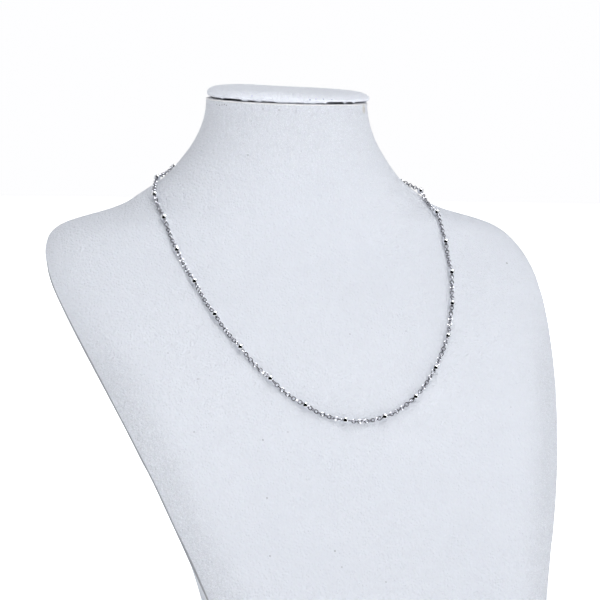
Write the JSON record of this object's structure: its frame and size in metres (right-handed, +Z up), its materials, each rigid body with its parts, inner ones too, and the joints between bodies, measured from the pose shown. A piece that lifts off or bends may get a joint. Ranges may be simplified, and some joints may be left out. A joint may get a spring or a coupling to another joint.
{
  "type": "cable chain necklace with ball stations on a plain neck bust",
  "caption": "Fine cable chain necklace with small round ball stations, closed by a plain clasp, worn by a plain leatherette neck bust.",
  "frame": {"origin": "bottom centre of the bust, on the surface it stands on", "axes": "+X is the bust's left-right direction, to the right as seen from the front; -Y is the way the bust faces; +Z is up"},
  "size_m": [0.24, 0.2037, 0.2871],
  "materials": {
    "leatherette": "cool white leatherette, fine grain, matt",
    "steel": "bright polished steel"
  },
  "bodies": {
    "root": {"bust": "leatherette", "neck_cap": "leatherette", "chain": "steel", "bead_01": "steel", "bead_02": "steel", "bead_03": "steel", "bead_04": "steel", "bead_05": "steel", "bead_06": "steel", "bead_07": "steel", "bead_08": "steel", "bead_09": "steel", "bead_10": "steel", "bead_11": "steel", "bead_12": "steel", "bead_13": "steel", "bead_14": "steel", "bead_15": "steel", "bead_16": "steel", "bead_17": "steel", "bead_18": "steel", "bead_19": "steel", "bead_20": "steel", "bead_21": "steel", "bead_22": "steel", "bead_23": "steel", "bead_24": "steel", "bead_25": "steel", "bead_26": "steel", "clasp": "steel", "jump_ring_left": "steel", "jump_ring_right": "steel"}
  },
  "joints": []
}
